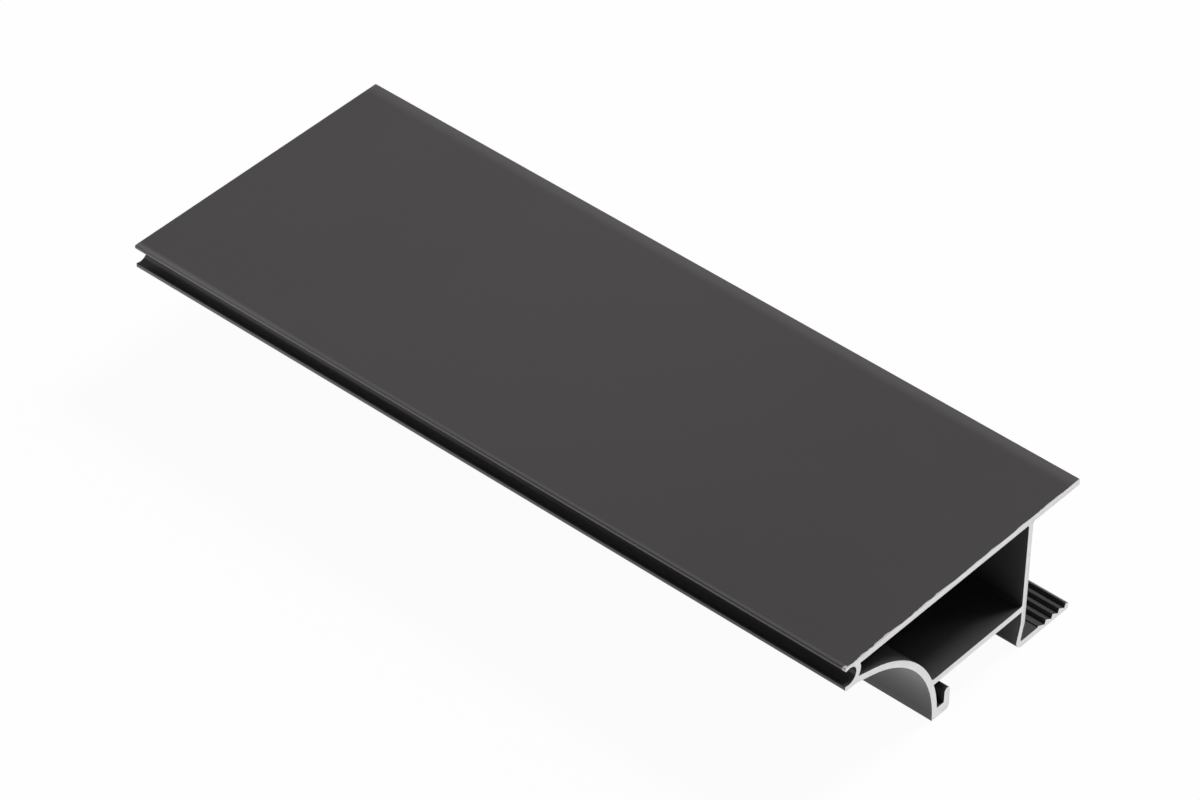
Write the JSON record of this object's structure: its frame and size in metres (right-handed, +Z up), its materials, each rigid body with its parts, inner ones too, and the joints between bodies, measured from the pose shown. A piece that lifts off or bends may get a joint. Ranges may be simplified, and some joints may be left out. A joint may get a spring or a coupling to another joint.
{
  "type": "aluminium extrusion profile",
  "caption": "Short sawn length of dark aluminium edge profile: flat plate, seal groove, curved finger pull, closed chamber, hook foot and a toothed slot that grips a board's edge.",
  "frame": {"origin": "middle of the width and of the length, on the level of the undersides of the hook and the flange", "axes": "+X from the seal groove towards the open board slot, +Y along the extrusion away from the end that faces the picture's camera, +Z up towards the flat plate"},
  "size_m": [0.0428, 0.1106, 0.0204],
  "materials": {
    "dark_anodised": "satin dark grey anodised skin with fine lines along the extrusion; both sawn ends are bare bright aluminium"
  },
  "bodies": {
    "root": {"profile": "dark_anodised"}
  },
  "joints": []
}
